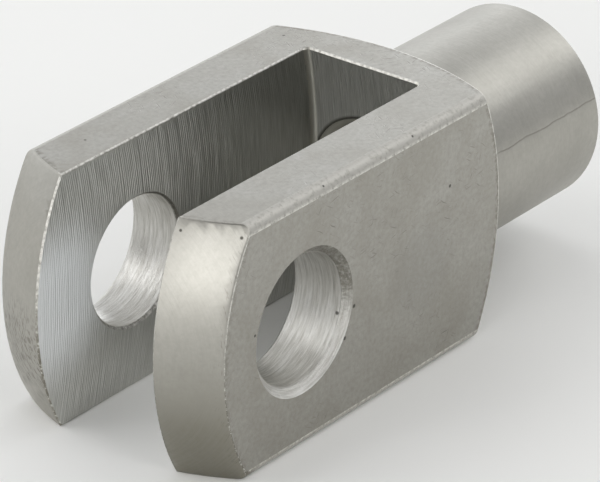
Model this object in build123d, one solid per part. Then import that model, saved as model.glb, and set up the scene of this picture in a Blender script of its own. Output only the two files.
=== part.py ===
"""Rod clevis for the threaded end of a pneumatic piston rod.

The clevis is one piece, cut from square steel bar. Its front end is turned to a
dome, its rear end is turned to a shallower dome and a round neck, the fork is
slotted with a disc cutter, and the bores for the pin and the rod are drilled through.

X runs along the rod, from the fork (-X) to the neck (+X). Y runs along the pin,
across the two ears. Z is up. The origin is the middle of the pin bore.
Sizes are in millimetres.
"""
import os

from build123d import *

# Square bar, with its long edges rolled round
bar_width = 20.0
bar_edge_radius = 0.8

# Turned front end of the fork, a dome about the rod's axis
front_reach = 11.9
front_crown = 5.7

# Turned shoulder behind the fork, a shallower dome
shoulder_reach = 25.9
shoulder_crown = 4.5

# Break that tumbling leaves along the turned edges
turned_edge_break = 0.2

# Slot between the ears, with the hollow floor that a disc cutter leaves
slot_width = 10.35
slot_reach = 21.2
slot_cutter_radius = 40.0
slot_corner_radius = 0.45
slot_edge_break = 0.15

# Pin bore through both ears
pin_bore_diameter = 10.0
pin_countersink_depth = 0.65
pin_burr_break = 0.2

# Round neck
neck_diameter = 15.8
neck_reach = 40.3
neck_end_chamfer = 0.3
neck_root_radius = 0.5

# Bore of the rod thread, M10 x 1.25, from the neck's end into the slot
thread_diameter = 10.0
thread_pitch = 1.25
thread_entry_clearance = 0.2
thread_exit_clearance = 0.1

# Sizes that follow from those above
half_width = bar_width / 2
half_slot = slot_width / 2
corner_radius = half_width * 2**0.5
neck_radius = neck_diameter / 2
thread_outer_radius = thread_diameter / 2
thread_bore_radius = thread_outer_radius - 0.54125 * thread_pitch
entry_radius = thread_outer_radius + thread_entry_clearance
exit_radius = thread_outer_radius + thread_exit_clearance

# How far the cutting tools run past the metal
run_out = bar_width / 2


def square_blank():
    """Bar as long as the fork and its shoulder."""
    bar = Box(front_reach + shoulder_reach, bar_width, bar_width)
    bar = fillet(bar.edges().filter_by(Axis.X), bar_edge_radius)
    return Pos((shoulder_reach - front_reach) / 2, 0, 0) * bar


def turned_envelope():
    """What the lathe leaves between the front dome and the shoulder's dome.

    Each dome starts square to the axis, and has fallen back by its crown where it
    reaches the corners of the bar.
    """
    outside = corner_radius + run_out
    front_rim = front_crown - front_reach
    shoulder_rim = shoulder_reach - shoulder_crown
    outline = Curve() + [
        TangentArc((-front_reach, 0), (front_rim, corner_radius), tangent=(0, 1)),
        Line((front_rim, corner_radius), (front_rim, outside)),
        Line((front_rim, outside), (shoulder_rim, outside)),
        Line((shoulder_rim, outside), (shoulder_rim, corner_radius)),
        TangentArc((shoulder_reach, 0), (shoulder_rim, corner_radius), tangent=(0, 1)),
        Line((shoulder_reach, 0), (-front_reach, 0)),
    ]
    return revolve(Plane.XZ * make_face(outline), Axis.X)


def round_neck():
    """Neck from inside the shoulder to the clevis's rear end."""
    length = neck_reach - slot_reach
    start = (Align.CENTER, Align.CENTER, Align.MIN)
    neck = Pos(slot_reach, 0, 0) * Rot(0, 90, 0) * Cylinder(neck_radius, length, align=start)
    return chamfer(neck.edges().sort_by(Axis.X)[-1], neck_end_chamfer)


def slot_cut():
    """Metal that the disc cutter takes out, fed in along X from the front."""
    top = half_width + run_out
    front = -front_reach - run_out
    floor_end = slot_reach - slot_cutter_radius + (slot_cutter_radius**2 - top**2) ** 0.5
    outline = Curve() + [
        Polyline((floor_end, -top), (front, -top), (front, top), (floor_end, top)),
        ThreePointArc((floor_end, top), (slot_reach, 0), (floor_end, -top)),
    ]
    cut = extrude(Plane.XZ * make_face(outline), half_slot, both=True)
    floor = cut.faces().sort_by(Axis.X)[-1]
    return fillet(floor.edges().filter_by(GeomType.CIRCLE), slot_corner_radius)


def pin_bore_cut():
    """Straight bore across both ears, countersunk outside and deburred in the slot."""
    radius = pin_bore_diameter / 2
    sunk_radius = radius + pin_countersink_depth
    burr_radius = radius + pin_burr_break
    outside = half_width + run_out
    outline = Polyline(
        (0, 0),
        (burr_radius, 0),
        (burr_radius, half_slot),
        (radius, half_slot + pin_burr_break),
        (radius, half_width - pin_countersink_depth),
        (sunk_radius, half_width),
        (sunk_radius, outside),
        (0, outside),
        close=True,
    )
    one_side = revolve(make_face(outline), Axis.Y)
    return one_side + mirror(one_side, Plane.XZ)


def rod_bore_cut():
    """Bore of the rod thread, sunk at both mouths to clear the thread's outer size."""
    exit_start = slot_reach - slot_corner_radius - half_width**2 / slot_cutter_radius
    exit_sink = exit_radius - thread_bore_radius
    entry_sink = entry_radius - thread_bore_radius
    outside = neck_reach + run_out
    outline = Polyline(
        (exit_start, 0),
        (exit_start, exit_radius),
        (slot_reach, exit_radius),
        (slot_reach + exit_sink, thread_bore_radius),
        (neck_reach - entry_sink, thread_bore_radius),
        (neck_reach, entry_radius),
        (outside, entry_radius),
        (outside, 0),
        close=True,
    )
    return revolve(make_face(outline), Axis.X)


def is_turned_edge(edge):
    """An edge between a dome and the bar's flats or rolled edges."""
    return edge.geom_type != GeomType.LINE


def is_neck_root(edge):
    """The circle where the neck meets the shoulder."""
    on_neck = edge.geom_type == GeomType.CIRCLE and abs(edge.radius - neck_radius) < 1e-6
    return on_neck and edge.center().X < shoulder_reach


def is_slot_rim(edge):
    """An edge where the slot opens at the front, above or below."""
    ends = edge.vertices()
    in_slot = max(abs(end.Y) for end in ends) < half_slot + 1e-6
    in_fork = max(end.X for end in ends) < slot_reach
    across_floor = max(abs(end.Z) for end in ends) - abs(edge.center().Z) > half_width / 2
    at_front = edge.center().X < 0
    return in_slot and in_fork and (at_front or not across_floor)


def clevis_fork():
    """The finished clevis."""
    body = square_blank() & turned_envelope()
    body = fillet(body.edges().filter_by(is_turned_edge), turned_edge_break)
    body += round_neck()
    body = fillet(body.edges().filter_by(is_neck_root), neck_root_radius)
    body -= slot_cut()
    body = chamfer(body.edges().filter_by(is_slot_rim), slot_edge_break)
    body -= pin_bore_cut()
    return body - rod_bore_cut()


os.makedirs("parts", exist_ok=True)
export_step(clevis_fork(), "parts/clevis_fork.step")
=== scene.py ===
# A rod clevis in bare stainless steel, lying on one of its flats under soft studio light.
import math

import bmesh
import bpy
from mathutils import Matrix, Vector


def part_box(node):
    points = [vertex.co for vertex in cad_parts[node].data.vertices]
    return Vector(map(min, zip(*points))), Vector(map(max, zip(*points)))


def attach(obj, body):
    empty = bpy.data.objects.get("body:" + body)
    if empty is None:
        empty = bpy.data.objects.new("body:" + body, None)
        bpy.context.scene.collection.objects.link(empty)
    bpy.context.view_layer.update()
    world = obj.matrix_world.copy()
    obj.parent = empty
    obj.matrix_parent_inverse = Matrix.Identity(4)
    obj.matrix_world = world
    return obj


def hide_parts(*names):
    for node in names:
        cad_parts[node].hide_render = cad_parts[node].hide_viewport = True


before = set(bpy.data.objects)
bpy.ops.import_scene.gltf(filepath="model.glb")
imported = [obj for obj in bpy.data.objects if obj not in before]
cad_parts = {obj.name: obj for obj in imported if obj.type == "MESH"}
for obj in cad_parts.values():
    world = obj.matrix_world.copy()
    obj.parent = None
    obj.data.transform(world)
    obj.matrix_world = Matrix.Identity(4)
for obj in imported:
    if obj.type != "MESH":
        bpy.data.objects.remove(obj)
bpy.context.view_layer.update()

# The clevis is one piece of stainless bar: rolled square, turned at both ends, slotted
# with a disc cutter, drilled across for its pin and tapped along for the piston rod.
# It is shown by a merged copy of its solid, in which the tap's thread is really cut.
MM = 0.001
fork_low, fork_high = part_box("clevis_fork")
merge_distance = 0.0005 * MM

solid = bmesh.new()
solid.from_mesh(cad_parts["clevis_fork"].data)
bmesh.ops.remove_doubles(solid, verts=solid.verts, dist=merge_distance)
clevis = bpy.data.objects.new("clevis", bpy.data.meshes.new("clevis"))
solid.to_mesh(clevis.data)
solid.free()
bpy.context.scene.collection.objects.link(clevis)

# The tap's teeth, M10 x 1.25: one ridge of 60 degrees with a flat crest, wound along the
# rod's axis past both mouths of the drilled hole. Its foot stands in the hole's free space.
slot_floor = 21.2 * MM
neck_reach = fork_high[0]
thread_pitch = 1.25 * MM
thread_radius = 5.0 * MM
tap_drill_radius = thread_radius - 0.54125 * thread_pitch
tooth_foot_radius = tap_drill_radius - 0.15 * MM
tooth_crest = thread_pitch / 8
tooth_flank = math.radians(30)
steps_per_turn = 40
tap_overrun = 1.0 * MM

tooth_foot = tooth_crest + 2 * (thread_radius - tooth_foot_radius) * math.tan(tooth_flank)
tap_start = slot_floor - tap_overrun
turns = math.ceil((neck_reach + tap_overrun - tap_start) / thread_pitch)
tap = bmesh.new()
tooth = [
    tap.verts.new((tap_start - tooth_foot / 2, 0, tooth_foot_radius)),
    tap.verts.new((tap_start - tooth_crest / 2, 0, thread_radius)),
    tap.verts.new((tap_start + tooth_crest / 2, 0, thread_radius)),
    tap.verts.new((tap_start + tooth_foot / 2, 0, tooth_foot_radius)),
]
section = tap.faces.new(tooth)
bmesh.ops.spin(
    tap,
    geom=[section, *section.edges, *section.verts],
    cent=(0, 0, 0),
    axis=(1, 0, 0),
    dvec=(thread_pitch / steps_per_turn, 0, 0),
    angle=2 * math.pi * turns,
    steps=steps_per_turn * turns,
    use_merge=False,
    use_duplicate=False,
)
bmesh.ops.recalc_face_normals(tap, faces=tap.faces)
cutter = bpy.data.objects.new("tap", bpy.data.meshes.new("tap"))
tap.to_mesh(cutter.data)
tap.free()
bpy.context.scene.collection.objects.link(cutter)

tapping = clevis.modifiers.new("tapping", "BOOLEAN")
tapping.operation = "DIFFERENCE"
tapping.solver = "EXACT"
tapping.object = cutter
bpy.context.view_layer.update()
cut = clevis.evaluated_get(bpy.context.evaluated_depsgraph_get())
tapped = bpy.data.meshes.new_from_object(cut)
clevis.modifiers.clear()
clevis.data = tapped
bpy.data.objects.remove(cutter)

# Each surface gets the steel that its tool left. The two domes are spheres about the
# rod's axis, so what lies on neither dome nor on a flat is a broken edge.
FLATS, EDGES, TURNED, MILLED, BORED, BURNISHED = range(6)
half_width = fork_high[2]
slot_wall = 5.175 * MM
slot_floor_sag = 1.3 * MM
pin_radius = 5.0 * MM
countersink = 0.65 * MM
mouth_sink = 0.25 * MM
neck_radius = 7.9 * MM
neck_root = 0.6 * MM
dome_corner = half_width * math.sqrt(2)
front_reach = -11.9 * MM
front_crown = 5.7 * MM
shoulder_reach = 25.9 * MM
shoulder_crown = 4.5 * MM
close = 0.01 * MM
close_to_dome = 0.03 * MM
nearly_flat = math.radians(0.05)
sharp_in_bores = math.radians(30)
sharp_elsewhere = math.radians(50)


def dome(reach, crown):
    """The centre and the radius of a dome that has fallen back by its crown at the bar's corners."""
    radius = (crown ** 2 + dome_corner ** 2) / (2 * crown)
    centre = Vector((reach + math.copysign(radius, -reach), 0, 0))
    return centre, radius


front_dome = dome(front_reach, front_crown)
shoulder_dome = dome(shoulder_reach, shoulder_crown)


def tool_that_made(face):
    """The steel of a face, told from where it lies and where it faces."""
    at = face.calc_center_median()
    facing = face.normal
    from_pin = math.hypot(at.x, at.z)
    from_rod = max(math.hypot(corner.co.y, corner.co.z) for corner in face.verts)

    square_on = max(abs(facing.y), abs(facing.z)) > 0.9999
    if square_on and max(abs(at.y), abs(at.z)) > half_width - close:
        return FLATS

    in_pin_bore = abs(at.y) > slot_wall - close and from_pin < pin_radius + countersink
    if in_pin_bore and abs(facing.y) < 0.9:
        return BORED

    in_rod_bore = at.x > slot_floor - slot_floor_sag and from_rod < thread_radius + mouth_sink
    faces_the_fork = facing.x <= -0.99
    if in_rod_bore and not faces_the_fork:
        return BURNISHED

    between_ears = abs(at.y) < slot_wall + close and abs(at.z) < half_width
    if between_ears and at.x < slot_floor + close:
        in_round_corner = min(abs(facing.x), abs(facing.y)) > 0.15 and at.x > pin_radius
        if in_round_corner:
            return BURNISHED
        return EDGES if abs(facing.z) > 0.3 else MILLED

    if at.x > slot_floor and from_rod < neck_radius + neck_root:
        return TURNED
    for centre, radius in (front_dome, shoulder_dome):
        if abs((at - centre).length - radius) < close_to_dome:
            return TURNED
    return EDGES


shape = bmesh.new()
shape.from_mesh(clevis.data)
bmesh.ops.dissolve_limit(
    shape, angle_limit=nearly_flat, verts=shape.verts, edges=shape.edges, delimit={"NORMAL"}
)
for face in shape.faces:
    face.material_index = tool_that_made(face)
    face.smooth = True
for edge in shape.edges:
    if not edge.is_manifold:
        continue
    in_bores = any(face.material_index in (BORED, BURNISHED) for face in edge.link_faces)
    edge.smooth = edge.calc_face_angle(0) < (sharp_in_bores if in_bores else sharp_elsewhere)
shape.to_mesh(clevis.data)
shape.free()
flat_shading = clevis.modifiers.new("flats stay flat", "WEIGHTED_NORMAL")
flat_shading.keep_sharp = True
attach(clevis, "root")
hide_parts("clevis_fork")

# The flats are the drawn bar's own skin, dulled by tumbling: an even, soft sheen, clouded
# by faint stains, crossed by short scratches, and dirty in a thin line beside the turned ends.


def linear(hex_colour):
    """Linear RGBA of an sRGB hex colour."""
    channels = [int(hex_colour[i:i + 2], 16) / 255 for i in (1, 3, 5)]
    return [c / 12.92 if c <= 0.04045 else ((c + 0.055) / 1.055) ** 2.4 for c in channels] + [1.0]


def add(tree, kind, settings, inputs, output=0):
    """Adds a node with its settings, its numbers and its links, and returns one output."""
    node = tree.nodes.new(kind)
    for name, value in settings.items():
        setattr(node, name, value)
    for name, value in inputs.items():
        if isinstance(value, bpy.types.NodeSocket):
            tree.links.new(value, node.inputs[name])
        else:
            node.inputs[name].default_value = value
    return node.outputs[output]


def steel(name, colour, roughness, brushed):
    """A bare steel: its tree, its shader, and the object's coordinates in millimetres."""
    material = bpy.data.materials.new(name)
    material.use_nodes = True
    tree = material.node_tree
    shader = tree.nodes["Principled BSDF"]
    shader.inputs["Metallic"].default_value = 1.0
    shader.inputs["Base Color"].default_value = linear(colour)
    shader.inputs["Roughness"].default_value = roughness
    shader.inputs["Anisotropic"].default_value = brushed
    place = add(tree, "ShaderNodeTexCoord", {}, {}, "Object")
    millimetres = add(tree, "ShaderNodeMapping", {}, {"Vector": place, "Scale": (1000, 1000, 1000)})
    clevis.data.materials.append(material)
    return tree, shader, millimetres


def marked(tree, colour, marks, hex_colour, strength):
    """A colour with marks of another colour over it."""
    share = add(tree, "ShaderNodeMath", {"operation": "MULTIPLY"}, {0: marks, 1: strength})
    mixed = {0: share, 6: colour, 7: linear(hex_colour)}
    return add(tree, "ShaderNodeMix", {"data_type": "RGBA"}, mixed, 2)


def around(tree, place, spot, none_at, full_at, fade="LINEAR"):
    """Marks around a spot: none at one distance from it, full at the other."""
    away = add(tree, "ShaderNodeVectorMath", {"operation": "DISTANCE"}, {0: place, 1: spot}, 1)
    distances = {0: away, 1: none_at, 2: full_at}
    return add(tree, "ShaderNodeMapRange", {"interpolation_type": fade}, distances)


def pitted(tree, colour, millimetres, spots):
    """A colour with small dark pits in it, at given places and with given radii."""
    inside = 0.0
    for spot, radius in spots:
        pit = around(tree, millimetres, spot, radius, radius / 2)
        inside = add(tree, "ShaderNodeMath", {"operation": "MAXIMUM"}, {0: inside, 1: pit})
    return marked(tree, colour, inside, "#33312C", 0.85)


def peened(tree, colour, millimetres, strength):
    """A colour peened by the drum's stones, in marks from 0.4 mm down to a hair's width."""
    sizes = {"Vector": millimetres, "Scale": 2.5, "Detail": 5.0, "Roughness": 0.7}
    grain = add(tree, "ShaderNodeTexNoise", {}, sizes)
    dents = add(tree, "ShaderNodeMapRange", {}, {0: grain, 1: 0.35, 2: 0.7})
    return marked(tree, colour, dents, "#96948C", strength), grain


def relief(tree, shader, height, depth):
    """Gives a steel a relief, with a depth in millimetres."""
    pressed = {"Height": height, "Distance": depth * MM, "Strength": 1.0}
    tree.links.new(add(tree, "ShaderNodeBump", {}, pressed), shader.inputs["Normal"])


tree, shader, mm = steel("drawn_and_tumbled", "#ADAAA4", 0.37, 0.0)
axes = add(tree, "ShaderNodeSeparateXYZ", {}, {"Vector": mm}).node.outputs
across = add(tree, "ShaderNodeMath", {"operation": "ADD"}, {0: axes["Y"], 1: axes["Z"]})
unrolled = add(tree, "ShaderNodeCombineXYZ", {}, {"X": axes["X"], "Y": across})
cloud_sizes = {"Vector": unrolled, "Scale": 0.22, "Detail": 4.0, "Distortion": 0.7}
clouds = add(tree, "ShaderNodeTexNoise", {}, cloud_sizes)
cloudy = add(tree, "ShaderNodeMapRange", {}, {0: clouds, 1: 0.38, 2: 0.72})
skin = marked(tree, linear("#AFADA7"), cloudy, "#A5A29A", 1.0)
drift = add(tree, "ShaderNodeTexNoise", {}, {"Vector": unrolled, "Scale": 0.5, "Detail": 2.0}, "Color")
drifted = {0: drift, 1: (0.5, 0.5, 0), 2: unrolled}
bent = add(tree, "ShaderNodeVectorMath", {"operation": "MULTIPLY_ADD"}, drifted)
# A water stain has dried on the near side, and its like on the underside.
stained = around(tree, bent, (14.4, -10.9, 0), 4.4, 2.2)
skin = marked(tree, skin, stained, "#9A9995", 0.3)
# Scratches lie along three headings. Real ones are a hair's width, and these are 0.1 mm
# wide, so that they show. They are dense in patches, as on the top beside the slot's floor.
scratches = 0.0
for heading in (8, 62, -33):
    lie = {"Vector": bent, "Rotation": (0, 0, math.radians(heading)), "Scale": (1.3, 0.11, 1.0)}
    laid = add(tree, "ShaderNodeMapping", {"vector_type": "TEXTURE"}, lie)
    streak_sizes = {"Vector": laid, "Scale": 1.0, "Detail": 0.0}
    streaks = add(tree, "ShaderNodeTexNoise", {"noise_dimensions": "2D"}, streak_sizes)
    scratch = add(tree, "ShaderNodeMapRange", {}, {0: streaks, 1: 0.8, 2: 0.88})
    scratches = add(tree, "ShaderNodeMath", {"operation": "MAXIMUM"}, {0: scratches, 1: scratch})
knocks = add(tree, "ShaderNodeTexNoise", {}, {"Vector": mm, "Scale": 0.14, "Detail": 1.0})
knocked = add(tree, "ShaderNodeMapRange", {}, {0: knocks, 1: 0.5, 2: 0.65, 3: 0.15, 4: 1.0})
by_floor = around(tree, mm, (21.0, 2.0, 10.0), 10.0, 4.0)
knocked = add(tree, "ShaderNodeMath", {"operation": "MAXIMUM"}, {0: knocked, 1: by_floor})
scratched = add(tree, "ShaderNodeMath", {"operation": "MULTIPLY"}, {0: scratches, 1: knocked})
skin = marked(tree, skin, scratched, "#6B6861", 0.6)
skin, grain = peened(tree, skin, mm, 0.75)
skin = pitted(tree, skin, mm, [
    ((17.3, -10.0, 4.2), 0.17), ((-5.8, -10.0, 1.25), 0.14), ((20.5, 7.7, 10.0), 0.13),
    ((4.8, -10.0, -3.2), 0.2), ((5.83, -10.0, -1.03), 0.2), ((-3.0, 7.5, 10.0), 0.12),
])
# Dirt has stayed along the turned ends, at the fork's front more so on the far ear.
front_centre, front_line = (size / MM for size in front_dome)
at_front = around(tree, mm, front_centre, front_line - 0.55, front_line - 0.2)
rear_centre, rear_line = (size / MM for size in shoulder_dome)
at_rear = around(tree, mm, rear_centre, rear_line - 0.5, rear_line - 0.2)
dirty_side = add(tree, "ShaderNodeMapRange", {}, {0: axes["Y"], 1: -6.0, 2: 6.0, 3: 0.5, 4: 1.0})
at_front = add(tree, "ShaderNodeMath", {"operation": "MULTIPLY"}, {0: at_front, 1: dirty_side})
at_end = add(tree, "ShaderNodeMath", {"operation": "MAXIMUM"}, {0: at_front, 1: at_rear})
grit = add(tree, "ShaderNodeTexNoise", {}, {"Vector": mm, "Scale": 2.5, "Detail": 3.0})
gritty = add(tree, "ShaderNodeMapRange", {}, {0: grit, 1: 0.4, 2: 0.6})
dirt = add(tree, "ShaderNodeMath", {"operation": "MULTIPLY"}, {0: at_end, 1: gritty})
skin = marked(tree, skin, dirt, "#7B776E", 0.7)
tree.links.new(skin, shader.inputs["Base Color"])
sheen = add(tree, "ShaderNodeMapRange", {}, {0: clouds, 1: 0.3, 2: 0.7, 3: 0.34, 4: 0.41})
tree.links.new(sheen, shader.inputs["Roughness"])
sunk = add(tree, "ShaderNodeMath", {"operation": "SUBTRACT"}, {0: grain, 1: scratched})
relief(tree, shader, sunk, 0.012)

# The broken edges took the knocks of the tumbling drum: rubbed bright, dented all along,
# with dirt in the dents.
tree, shader, mm = steel("edges_rubbed_and_highlit", "#BCBAB4", 0.55, 0.0)
dent_sizes = {"Vector": mm, "Scale": 3.2, "Detail": 4.0, "Roughness": 0.6}
dents = add(tree, "ShaderNodeTexNoise", {}, dent_sizes)
dented = add(tree, "ShaderNodeMapRange", {}, {0: dents, 1: 0.5, 2: 0.72})
rubbed_and_highlit = marked(tree, linear("#BCBAB4"), dented, "#96948C", 0.7)
# Where the bar's rolled corners run into its sides, a brighter line is painted: partly rubbed metal, partly
# painted highlight.
axes = add(tree, "ShaderNodeSeparateXYZ", {}, {"Vector": mm}).node.outputs
height = add(tree, "ShaderNodeMath", {"operation": "ABSOLUTE"}, {0: axes["Z"]})
outwards = add(tree, "ShaderNodeMath", {"operation": "ABSOLUTE"}, {0: axes["Y"]})
at_side = add(tree, "ShaderNodeMapRange", {}, {0: height, 1: 9.45, 2: 9.25})
on_corner = add(tree, "ShaderNodeMapRange", {}, {0: outwards, 1: 9.7, 2: 9.8})
line = add(tree, "ShaderNodeMath", {"operation": "MULTIPLY"}, {0: at_side, 1: on_corner})
# The slot's rims carry a burr, with a painted highlight along it.
painted_rim_highlight = add(tree, "ShaderNodeMapRange", {}, {0: outwards, 1: 5.6, 2: 5.5})
line = add(tree, "ShaderNodeMath", {"operation": "MAXIMUM"}, {0: line, 1: painted_rim_highlight})
broken = add(tree, "ShaderNodeMapRange", {}, {0: dents, 1: 0.64, 2: 0.42})
line = add(tree, "ShaderNodeMath", {"operation": "MULTIPLY"}, {0: line, 1: broken})
rubbed_and_highlit = marked(tree, rubbed_and_highlit, line, "#E4E3DD", 0.85)
# Low on the fork's front the edges are darker and browner, in speckles.
low_down = add(tree, "ShaderNodeMapRange", {}, {0: axes["Z"], 1: 3.0, 2: -3.0})
at_front = add(tree, "ShaderNodeMapRange", {}, {0: axes["X"], 1: -5.0, 2: -6.5})
browned_low_edges = add(tree, "ShaderNodeMapRange", {}, {0: dents, 1: 0.36, 2: 0.5})
browned_low_edges = add(tree, "ShaderNodeMath", {"operation": "MULTIPLY"}, {0: browned_low_edges, 1: low_down})
browned_low_edges = add(tree, "ShaderNodeMath", {"operation": "MULTIPLY"}, {0: browned_low_edges, 1: at_front})
rubbed_and_highlit = marked(tree, rubbed_and_highlit, browned_low_edges, "#6E6A5E", 0.8)
rubbed_and_highlit = pitted(tree, rubbed_and_highlit, mm, [((12.7, -9.8, 9.8), 0.14), ((2.1, -9.8, 9.8), 0.14)])
tree.links.new(rubbed_and_highlit, shader.inputs["Base Color"])
relief(tree, shader, dents, 0.02)

# The domes and the neck keep the lathe's fine rings, which pull the light out along the rod.
# Their rings are drawn 0.2 mm apart, twice as coarse as the feed, so that they show.


def distance_off(tree, millimetres, across):
    """The distance from an axis, told by the directions that lie across it."""
    flat = add(tree, "ShaderNodeVectorMath", {"operation": "MULTIPLY"}, {0: millimetres, 1: across})
    return add(tree, "ShaderNodeVectorMath", {"operation": "LENGTH"}, {0: flat}, 1)


tree, shader, mm = steel("turned_and_tumbled", "#B4B1AB", 0.39, 0.5)
axes = add(tree, "ShaderNodeSeparateXYZ", {}, {"Vector": mm}).node.outputs
facing = add(tree, "ShaderNodeNewGeometry", {}, {}, "Normal")
cross = {"operation": "CROSS_PRODUCT"}
along_ring = add(tree, "ShaderNodeVectorMath", cross, {0: (1, 0, 0), 1: mm})
across_rings = add(tree, "ShaderNodeVectorMath", cross, {0: along_ring, 1: facing})
tree.links.new(across_rings, shader.inputs["Tangent"])
from_rod = distance_off(tree, mm, (0, 1, 1))
fed = add(tree, "ShaderNodeMath", {"operation": "ADD"}, {0: axes["X"], 1: from_rod})
round_rod = add(tree, "ShaderNodeMath", {"operation": "ARCTAN2"}, {0: axes["Z"], 1: axes["Y"]})
round_rod = add(tree, "ShaderNodeMath", {"operation": "MULTIPLY"}, {0: round_rod, 1: 0.6})
ring_place = add(tree, "ShaderNodeCombineXYZ", {}, {"X": fed, "Y": round_rod})
rings = add(tree, "ShaderNodeTexNoise", {}, {"Vector": ring_place, "Scale": 5.0, "Detail": 3.0})
clouds = add(tree, "ShaderNodeTexNoise", {}, {"Vector": mm, "Scale": 0.3, "Detail": 3.0})
cloudy = add(tree, "ShaderNodeMapRange", {}, {0: clouds, 1: 0.38, 2: 0.72})
skin = marked(tree, linear("#B4B2AB"), cloudy, "#ACAAA3", 1.0)
# The near ear's front is darker and browner low down.
browned_low_front = around(tree, mm, (-9.5, -8.5, -9.5), 11.0, 3.0, "SMOOTHSTEP")
skin = marked(tree, skin, browned_low_front, "#7F7C6F", 0.8)
# Short dark dashes run with the rings, along the ears' outer edges.
dash_turn = add(tree, "ShaderNodeMath", {"operation": "MULTIPLY"}, {0: round_rod, 1: 4.0})
dash_place = add(tree, "ShaderNodeCombineXYZ", {}, {"X": fed, "Y": dash_turn})
dashes = add(tree, "ShaderNodeTexNoise", {}, {"Vector": dash_place, "Scale": 5.0, "Detail": 2.0})
dashed = add(tree, "ShaderNodeMapRange", {}, {0: dashes, 1: 0.6, 2: 0.68})
outwards = add(tree, "ShaderNodeMath", {"operation": "ABSOLUTE"}, {0: axes["Y"]})
at_edge = add(tree, "ShaderNodeMapRange", {}, {0: outwards, 1: 9.1, 2: 9.7, 4: 0.6})
dashed = add(tree, "ShaderNodeMath", {"operation": "MULTIPLY"}, {0: dashed, 1: at_edge})
skin = marked(tree, skin, dashed, "#5F5C55", 0.7)
# The far ear's front is bruised, low down.
bruises = add(tree, "ShaderNodeMapRange", {}, {0: dashes, 1: 0.5, 2: 0.6})
knocked = around(tree, mm, (-10.0, 7.6, -4.5), 5.5, 2.5)
bruised = add(tree, "ShaderNodeMath", {"operation": "MULTIPLY"}, {0: bruises, 1: knocked})
skin = marked(tree, skin, bruised, "#5F5A50", 0.75)
ringed = add(tree, "ShaderNodeMapRange", {}, {0: rings, 1: 0.35, 2: 0.7})
skin = marked(tree, skin, ringed, "#A19E97", 0.25)
skin, grain = peened(tree, skin, mm, 0.35)
# One long scratch wanders down the near side of the neck, and stops short of its end.
wandering = {"W": axes["X"], "Scale": 0.25, "Detail": 3.0}
wander = add(tree, "ShaderNodeTexNoise", {"noise_dimensions": "1D"}, wandering)
line = add(tree, "ShaderNodeMapRange", {"clamp": False}, {0: wander, 1: 0.0, 2: 1.0, 3: 2.25, 4: 2.65})
off_line = add(tree, "ShaderNodeMath", {"operation": "SUBTRACT"}, {0: axes["Z"], 1: line})
off_line = add(tree, "ShaderNodeMath", {"operation": "ABSOLUTE"}, {0: off_line})
on_line = add(tree, "ShaderNodeMapRange", {}, {0: off_line, 1: 0.08, 2: 0.02})
near_side = add(tree, "ShaderNodeMapRange", {}, {0: axes["Y"], 1: -5.0, 2: -6.0})
on_neck = add(tree, "ShaderNodeMapRange", {}, {0: axes["X"], 1: 26.5, 2: 27.5})
before_end = add(tree, "ShaderNodeMath", {"operation": "LESS_THAN"}, {0: axes["X"], 1: 40.1})
gouge = on_line
for part in (near_side, on_neck, before_end):
    gouge = add(tree, "ShaderNodeMath", {"operation": "MULTIPLY"}, {0: gouge, 1: part})
skin = marked(tree, skin, gouge, "#7B7870", 0.55)
skin = pitted(tree, skin, mm, [
    ((-8.8, -5.7, 9.2), 0.14), ((-10.6, -6.9, -3.2), 0.12), ((-7.0, -9.6, 9.15), 0.15),
])
tree.links.new(skin, shader.inputs["Base Color"])
sunk = add(tree, "ShaderNodeMath", {"operation": "SUBTRACT"}, {0: rings, 1: gouge})
sunk = add(tree, "ShaderNodeMath", {"operation": "ADD"}, {0: sunk, 1: grain})
relief(tree, shader, sunk, 0.007)

# The slot is bright, fresh metal, scored in arcs by the disc cutter's teeth. The ridges
# between the scores lean to the front, so the fork's open end shines in them.
cutter_radius = 40.0
tree, shader, mm = steel("disc_milled", "#B6B5B1", 0.33, 0.8)
facing = add(tree, "ShaderNodeNewGeometry", {}, {}, "Normal")
level = add(tree, "ShaderNodeVectorMath", cross, {0: (0, 0, 1), 1: facing})
tree.links.new(level, shader.inputs["Tangent"])
axes = add(tree, "ShaderNodeSeparateXYZ", {}, {"Vector": mm}).node.outputs
sag = add(tree, "ShaderNodeMath", {"operation": "MULTIPLY"}, {0: axes["Z"], 1: axes["Z"]})
sag = add(tree, "ShaderNodeMath", {"operation": "MULTIPLY"}, {0: sag, 1: 1 / (2 * cutter_radius)})
fed = add(tree, "ShaderNodeMath", {"operation": "ADD"}, {0: axes["X"], 1: sag})
fed = add(tree, "ShaderNodeMath", {"operation": "ADD"}, {0: fed, 1: axes["Y"]})
down = add(tree, "ShaderNodeMath", {"operation": "MULTIPLY"}, {0: axes["Z"], 1: 0.06})
arc_place = add(tree, "ShaderNodeCombineXYZ", {}, {"X": fed, "Y": down})
arc_sizes = {"Vector": arc_place, "Scale": 5.0, "Detail": 3.0, "Roughness": 0.6}
arcs = add(tree, "ShaderNodeTexNoise", {}, arc_sizes)
scored = add(tree, "ShaderNodeMapRange", {}, {0: arcs, 1: 0.35, 2: 0.65})
cut_metal = marked(tree, linear("#B1B1AC"), scored, "#C8C8C4", 1.0)
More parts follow.
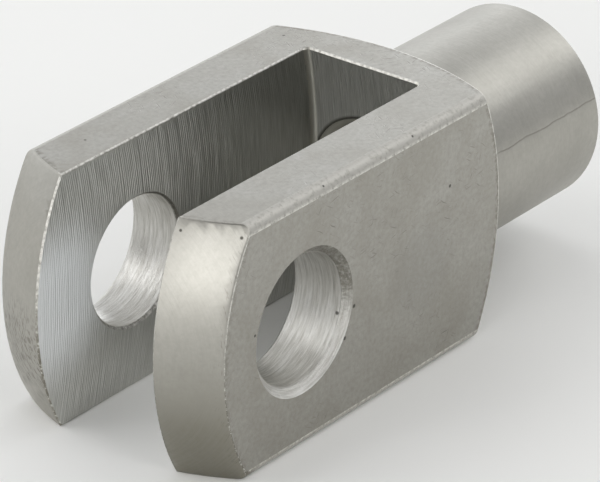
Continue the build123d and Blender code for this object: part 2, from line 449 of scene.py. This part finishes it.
# Its front is painted brighter on both walls: a painted highlight, where the fork's open end shines in them.
mirrored = add(tree, "ShaderNodeVectorMath", {"operation": "ABSOLUTE"}, {0: mm})
from_painted_highlight = add(tree, "ShaderNodeVectorMath", {"operation": "SUBTRACT"}, {0: mirrored, 1: (9.0, 5.2, 0.0)})
from_painted_highlight = add(tree, "ShaderNodeVectorMath", {"operation": "LENGTH"}, {0: from_painted_highlight}, 1)
painted_highlight_reach = {0: from_painted_highlight, 1: 8.0, 2: 2.5}
painted_front_highlight = add(tree, "ShaderNodeMapRange", {"interpolation_type": "SMOOTHSTEP"}, painted_highlight_reach)
before = add(tree, "ShaderNodeMath", {"operation": "LESS_THAN"}, {0: axes["X"], 1: 0.0})
painted_front_highlight = add(tree, "ShaderNodeMath", {"operation": "MULTIPLY"}, {0: painted_front_highlight, 1: before})
cut_metal = marked(tree, cut_metal, painted_front_highlight, "#F2F4F5", 1.0)
# A dark ring is painted round the tapped hole's mouth in the slot's floor: painted shade at the hole's rim.
from_rod = distance_off(tree, mm, (0, 1, 1))
painted_mouth_shade = add(tree, "ShaderNodeMapRange", {}, {0: from_rod, 1: 5.4, 2: 5.2})
on_floor = add(tree, "ShaderNodeMath", {"operation": "GREATER_THAN"}, {0: axes["X"], 1: 20.6})
painted_mouth_shade = add(tree, "ShaderNodeMath", {"operation": "MULTIPLY"}, {0: painted_mouth_shade, 1: on_floor})
cut_metal = marked(tree, cut_metal, painted_mouth_shade, "#55534C", 0.9)
tree.links.new(cut_metal, shader.inputs["Base Color"])
sheen = add(tree, "ShaderNodeMapRange", {}, {0: painted_front_highlight, 3: 0.32, 4: 0.54})
tree.links.new(sheen, shader.inputs["Roughness"])
# The ridges stand 0.2 mm apart. Each rises slowly and falls off at once.
ridges_per_mm = 4.8
drift = add(tree, "ShaderNodeTexNoise", {}, {"Vector": arc_place, "Scale": 0.9, "Detail": 2.0})
drift = add(tree, "ShaderNodeMath", {"operation": "MULTIPLY"}, {0: drift, 1: 2.0})
spaced = {0: fed, 1: ridges_per_mm, 2: drift}
ridges = add(tree, "ShaderNodeMath", {"operation": "MULTIPLY_ADD"}, spaced)
ridges = add(tree, "ShaderNodeMath", {"operation": "FRACT"}, {0: ridges})
ridges = add(tree, "ShaderNodeMapRange", {}, {0: ridges, 1: 0.4, 2: 1.0})
ridges = add(tree, "ShaderNodeMath", {"operation": "MULTIPLY_ADD"}, {0: ridges, 1: 0.8, 2: arcs})
relief(tree, shader, ridges, 0.07)

# The pin's bore is drilled and reamed: bright, with rings about the pin's axis. Its
# countersinks are chattered, and burrs are left in a dark speckled line at the slot.
tree, shader, mm = steel("drilled_and_reamed", "#D0D0CD", 0.34, 0.7)
along_pin = add(tree, "ShaderNodeCombineXYZ", {}, {"Y": 1.0})
tree.links.new(along_pin, shader.inputs["Tangent"])
axes = add(tree, "ShaderNodeSeparateXYZ", {}, {"Vector": mm}).node.outputs
from_pin = distance_off(tree, mm, (1, 0, 1))
outwards = add(tree, "ShaderNodeMath", {"operation": "ABSOLUTE"}, {0: axes["Y"]})
fed = add(tree, "ShaderNodeMath", {"operation": "ADD"}, {0: outwards, 1: from_pin})
round_pin = add(tree, "ShaderNodeMath", {"operation": "ARCTAN2"}, {0: axes["Z"], 1: axes["X"]})
round_pin = add(tree, "ShaderNodeMath", {"operation": "MULTIPLY"}, {0: round_pin, 1: 0.5})
ring_place = add(tree, "ShaderNodeCombineXYZ", {}, {"X": fed, "Y": round_pin, "Z": axes["Y"]})
ring_sizes = {"Vector": ring_place, "Scale": 4.5, "Detail": 4.0, "Roughness": 0.65}
rings = add(tree, "ShaderNodeTexNoise", {}, ring_sizes)
ringed = add(tree, "ShaderNodeMapRange", {}, {0: rings, 1: 0.35, 2: 0.65})
bright = marked(tree, linear("#DCDBD7"), ringed, "#B9B7B1", 1.0)
in_sink = add(tree, "ShaderNodeMapRange", {}, {0: from_pin, 1: 5.02, 2: 5.06})
chatter_sizes = {"Vector": mm, "Scale": 3.2, "Detail": 4.0, "Roughness": 0.65}
chatter = add(tree, "ShaderNodeTexNoise", {}, chatter_sizes)
chattered = add(tree, "ShaderNodeMath", {"operation": "MULTIPLY"}, {0: in_sink, 1: chatter})
# The upper half of each countersink is painted dark, broken up by the chatter: painted shade.
torn = add(tree, "ShaderNodeMapRange", {}, {0: chatter, 1: 0.7, 2: 0.45, 3: 0.4, 4: 1.0})
torn = add(tree, "ShaderNodeMath", {"operation": "MULTIPLY"}, {0: torn, 1: in_sink})
upper_half_shade = add(tree, "ShaderNodeMapRange", {}, {0: axes["Z"], 1: -2.0, 2: 1.0})
torn = add(tree, "ShaderNodeMath", {"operation": "MULTIPLY"}, {0: torn, 1: upper_half_shade})
bright = marked(tree, bright, torn, "#807D74", 0.9)
by_slot = add(tree, "ShaderNodeMapRange", {}, {0: outwards, 1: 5.42, 2: 5.32})
burrs = add(tree, "ShaderNodeMapRange", {}, {0: chatter, 1: 0.35, 2: 0.6})
burrs = add(tree, "ShaderNodeMath", {"operation": "MULTIPLY"}, {0: burrs, 1: by_slot})
bright = marked(tree, bright, burrs, "#55534C", 0.7)
bright = pitted(tree, bright, mm, [((4.8, -9.27, -1.42), 0.18)])
tree.links.new(bright, shader.inputs["Base Color"])
cut_height = add(tree, "ShaderNodeMath", {"operation": "MULTIPLY_ADD"}, {0: chattered, 1: 2.0, 2: rings})
relief(tree, shader, cut_height, 0.07)

# The thread's flanks and the slot's two round corners are rubbed smooth by the tools that
# cut them: a tap and the disc's edge. They are plain and soft in their shine.
tree, shader, mm = steel("burnished_by_the_tool", "#CBC9C0", 0.38, 0.0)
torn = add(tree, "ShaderNodeTexNoise", {}, {"Vector": mm, "Scale": 3.0, "Detail": 3.0})
relief(tree, shader, torn, 0.01)

# The floor is a sheet of pale, matt card, which the clevis rests on. It is so large that
# its rim is out of view.
floor_side = 3.0
card = bmesh.new()
bmesh.ops.create_grid(card, x_segments=1, y_segments=1, size=floor_side / 2)
bmesh.ops.translate(card, verts=card.verts, vec=(0, 0, fork_low[2]))
floor = bpy.data.objects.new("floor", bpy.data.meshes.new("floor"))
card.to_mesh(floor.data)
card.free()
bpy.context.scene.collection.objects.link(floor)
paper = bpy.data.materials.new("white_card")
paper.use_nodes = True
sheet = paper.node_tree.nodes["Principled BSDF"]
sheet.inputs["Base Color"].default_value = linear("#F2F2F0")
sheet.inputs["Roughness"].default_value = 0.9
sheet.inputs["Specular IOR Level"].default_value = 0.2
floor.data.materials.append(paper)

# The studio is a dim room with soft round lights that fade at their rims. A strong one
# stands low before the fork and a small strong one over the near side. The others stand
# behind the neck and the far ear, or hang higher up. Together they light the floor plainly.
room_light = 0.12
world = bpy.data.worlds.new("studio")
bpy.context.scene.world = world
world.use_nodes = True
studio = world.node_tree
direction = add(studio, "ShaderNodeTexCoord", {}, {}, "Generated")
light = add(studio, "ShaderNodeCombineXYZ", {}, {"X": room_light, "Y": room_light, "Z": room_light})
for azimuth, elevation, core, rim, strength, colour in (
    (195, 12, 9, 30, 3.1, "#FFFFFF"),
    (15, 10, 9, 30, 1.75, "#FAFCFF"),
    (0, 0, 14, 45, 1.5, "#FAFCFF"),
    (75, 0, 18, 60, 1.25, "#FAFCFF"),
    (60, 65, 9, 30, 0.85, "#FFFFFF"),
    (135, 40, 9, 30, 2.1, "#FFFFFF"),
    (257, 33, 4, 18, 3.3, "#FFFFFF"),
    (300, 50, 9, 30, 1.0, "#FFFFFF"),
    (342, 42, 6, 22, 1.2, "#FFFFFF"),
    (285, 0, 9, 30, 0.8, "#FFFFFF"),
):
    level_reach = math.cos(math.radians(elevation))
    towards = (
        level_reach * math.cos(math.radians(azimuth)),
        level_reach * math.sin(math.radians(azimuth)),
        math.sin(math.radians(elevation)),
    )
    along = add(studio, "ShaderNodeVectorMath", {"operation": "DOT_PRODUCT"}, {0: direction, 1: towards}, 1)
    fade = {0: along, 1: math.cos(math.radians(rim)), 2: math.cos(math.radians(core))}
    patch = add(studio, "ShaderNodeMapRange", {"interpolation_type": "SMOOTHSTEP"}, fade)
    tint = [strength * channel for channel in linear(colour)[:3]]
    light = add(studio, "ShaderNodeVectorMath", {"operation": "MULTIPLY_ADD"}, {0: patch, 1: tint, 2: light})
studio.links.new(light, studio.nodes["Background"].inputs["Color"])

# The camera stands where the photograph's stood: off the near corner of the fork's front
# and above it, with a long lens, so that the bar's edges run nearly parallel.
view_azimuth = math.radians(-53.51)
view_elevation = math.radians(26.33)
view_roll = math.radians(1.29)
view_distance = 355.9 * MM
view_centre = Vector((12.0, 0, 0)) * MM
view_offset = Vector((0.392, -1.229, 0)) * MM
focal_length = 292.0

back = Vector((
    math.sin(view_azimuth) * math.cos(view_elevation),
    -math.cos(view_azimuth) * math.cos(view_elevation),
    math.sin(view_elevation),
))
turn = (-back).to_track_quat("-Z", "Y").to_matrix() @ Matrix.Rotation(view_roll, 3, "Z")
stand = view_centre + back * view_distance + turn @ view_offset
camera = bpy.data.objects.new("camera", bpy.data.cameras.new("camera"))
camera.data.lens = focal_length
camera.data.sensor_width = 36
camera.data.sensor_fit = "HORIZONTAL"
camera.data.clip_start = 0.01
camera.data.clip_end = 20
camera.matrix_world = Matrix.Translation(stand) @ turn.to_4x4()
bpy.context.scene.collection.objects.link(camera)
bpy.context.scene.camera = camera
bpy.context.scene.view_settings.view_transform = "Standard"
